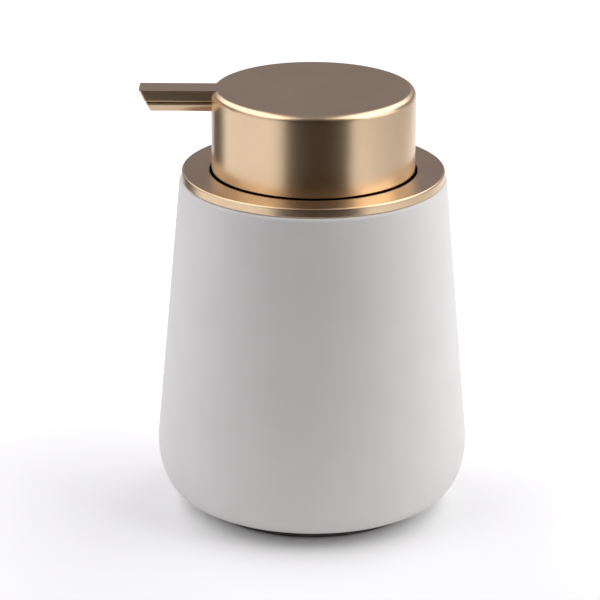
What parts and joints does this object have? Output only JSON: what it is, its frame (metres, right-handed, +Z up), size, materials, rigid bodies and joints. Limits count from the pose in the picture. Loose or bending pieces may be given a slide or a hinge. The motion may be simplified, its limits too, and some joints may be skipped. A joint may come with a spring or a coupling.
{
  "type": "soap pump dispenser",
  "caption": "Soap pump dispenser: round matt ceramic vessel that narrows upwards, push-in pump unit, satin brass collar ring, wide flat press cap and short flat spout.",
  "frame": {"origin": "middle of the base, on the surface that the dispenser stands on, under the vessel's axis", "axes": "+Z up along the vessel's axis; the spout points along -X"},
  "size_m": [0.089, 0.085, 0.1174],
  "materials": {
    "stoneware": "matt unglazed or matt glazed, smooth",
    "pad_rubber": "matt",
    "satin_brass": "satin, fine brushed",
    "black_plastic": "matt moulded",
    "natural_plastic": "natural, slightly cloudy",
    "white_plastic": "moulded, half gloss",
    "silicone": "soft, cloudy white",
    "spring_steel": "drawn wire, bright",
    "ball_glass": "polished"
  },
  "bodies": {
    "vessel": {"ceramic_vessel": "stoneware", "base_pad": "pad_rubber"},
    "pump_unit": {"collar_ring": "satin_brass", "well_cup": "black_plastic", "stopper_seal": "silicone", "closure_nut": "black_plastic", "neck_gasket": "silicone", "pump_housing": "natural_plastic", "guide_collar": "white_plastic", "return_spring": "spring_steel", "dip_tube": "natural_plastic"},
    "inlet_valve": {"inlet_ball": "ball_glass"},
    "plunger": {"stem": "white_plastic", "valve_rod": "white_plastic"},
    "piston": {"piston": "natural_plastic"},
    "head": {"press_cap": "satin_brass", "spout_channel": "satin_brass", "spout_seal": "silicone", "actuator_core": "white_plastic"}
  },
  "joints": [
    {"name": "pump_lift_out", "type": "slide", "parent": "vessel", "child": "pump_unit", "axis": [0, 0, 1], "range_m": [0, 0.09]},
    {"name": "pump_stroke", "type": "slide", "parent": "pump_unit", "child": "plunger", "axis": [0, 0, -1], "range_m": [0, 0.012], "stiffness_N_per_m": 600, "springref_m": -0.01, "deforming": ["return_spring"]},
    {"name": "head_swivel", "type": "hinge", "parent": "plunger", "child": "head", "pos_m": [0, 0, 0.112], "axis": [0, 0, 1], "continuous": true},
    {"name": "piston_float", "type": "slide", "parent": "plunger", "child": "piston", "axis": [0, 0, 1], "range_m": [0, 0.001]},
    {"name": "inlet_ball_lift", "type": "slide", "parent": "pump_unit", "child": "inlet_valve", "axis": [0, 0, 1], "range_m": [0, 0.0015]}
  ]
}
